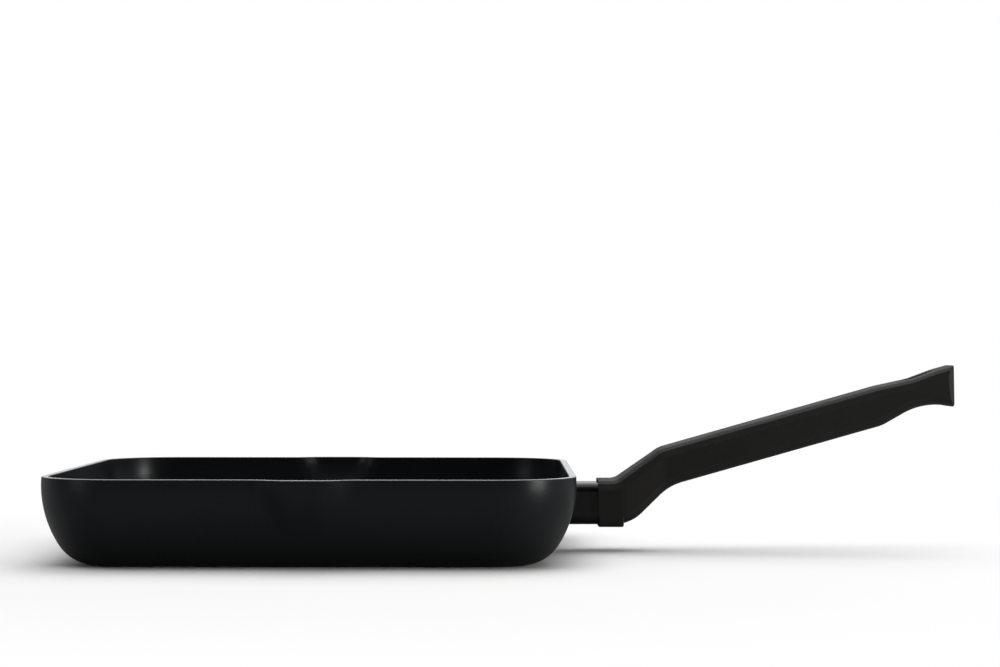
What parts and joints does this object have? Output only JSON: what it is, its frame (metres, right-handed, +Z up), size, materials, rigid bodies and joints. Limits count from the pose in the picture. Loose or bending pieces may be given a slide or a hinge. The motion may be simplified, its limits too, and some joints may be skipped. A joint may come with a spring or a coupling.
{
  "type": "square grill pan",
  "caption": "Square non-stick grill pan with a ribbed floor, side pouring spouts, a perforated steel disc in the base and a fixed rising handle with a hanging hole.",
  "frame": {"origin": "middle of the base, on the surface the pan stands on", "axes": "+X out along the handle, +Z up, Y across the pan from spout to spout"},
  "size_m": [0.4587, 0.2714, 0.0969],
  "materials": {
    "coated_aluminium": "satin black non-stick coating, bare machined rim",
    "base_steel": "brushed",
    "bracket_aluminium": "as cast",
    "rivet_aluminium": "satin",
    "gloss_black_coating": "gloss black",
    "black_phenolic": "fine matt moulding texture",
    "zinc_steel": "zinc plated"
  },
  "bodies": {
    "root": {"pan_body": "coated_aluminium", "induction_plate": "base_steel", "handle_bracket": "bracket_aluminium", "rivet_front": "rivet_aluminium", "rivet_rear": "rivet_aluminium", "neck_sleeve": "gloss_black_coating", "handle_grip": "black_phenolic", "handle_screw": "zinc_steel", "split_washer": "zinc_steel"}
  },
  "joints": []
}
